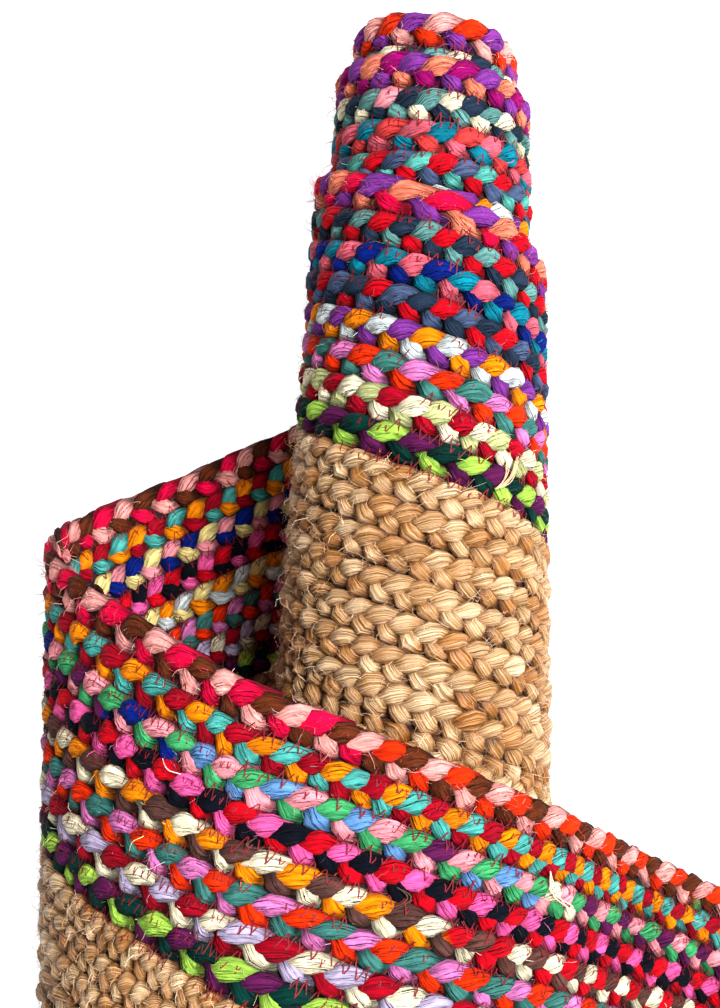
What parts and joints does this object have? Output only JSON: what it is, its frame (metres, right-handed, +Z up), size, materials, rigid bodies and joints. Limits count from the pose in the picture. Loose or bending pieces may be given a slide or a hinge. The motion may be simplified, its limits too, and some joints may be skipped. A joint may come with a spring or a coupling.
{
  "type": "braided rug",
  "caption": "Braided cotton and jute runner rug rolled up askew, its outer turn pulled loose and laid over the roll to the floor.",
  "frame": {"origin": "on the floor under the middle of the rug's box", "axes": "+Y along the roll's axis towards the end where its inner turns stand out, +Z up, +X towards the loose end"},
  "size_m": [0.7114, 1.2343, 0.1932],
  "materials": {
    "cotton_1": "braided cotton rag, matt",
    "cotton_2": "braided cotton rag, matt",
    "cotton_3": "braided cotton rag, matt",
    "cotton_4": "braided cotton rag, matt",
    "cotton_5": "braided cotton rag, matt",
    "cotton_6": "braided cotton rag, matt",
    "cotton_7": "braided cotton rag, matt",
    "cotton_8": "braided cotton rag, matt",
    "jute": "braided jute, natural sheen"
  },
  "bodies": {
    "root": {"cotton_round_1": "cotton_1", "cotton_round_2": "cotton_2", "cotton_round_3": "cotton_3", "cotton_round_4": "cotton_4", "cotton_round_5": "cotton_5", "cotton_round_6": "cotton_6", "cotton_round_7": "cotton_7", "cotton_round_8": "cotton_8", "jute_field": "jute"}
  },
  "joints": []
}
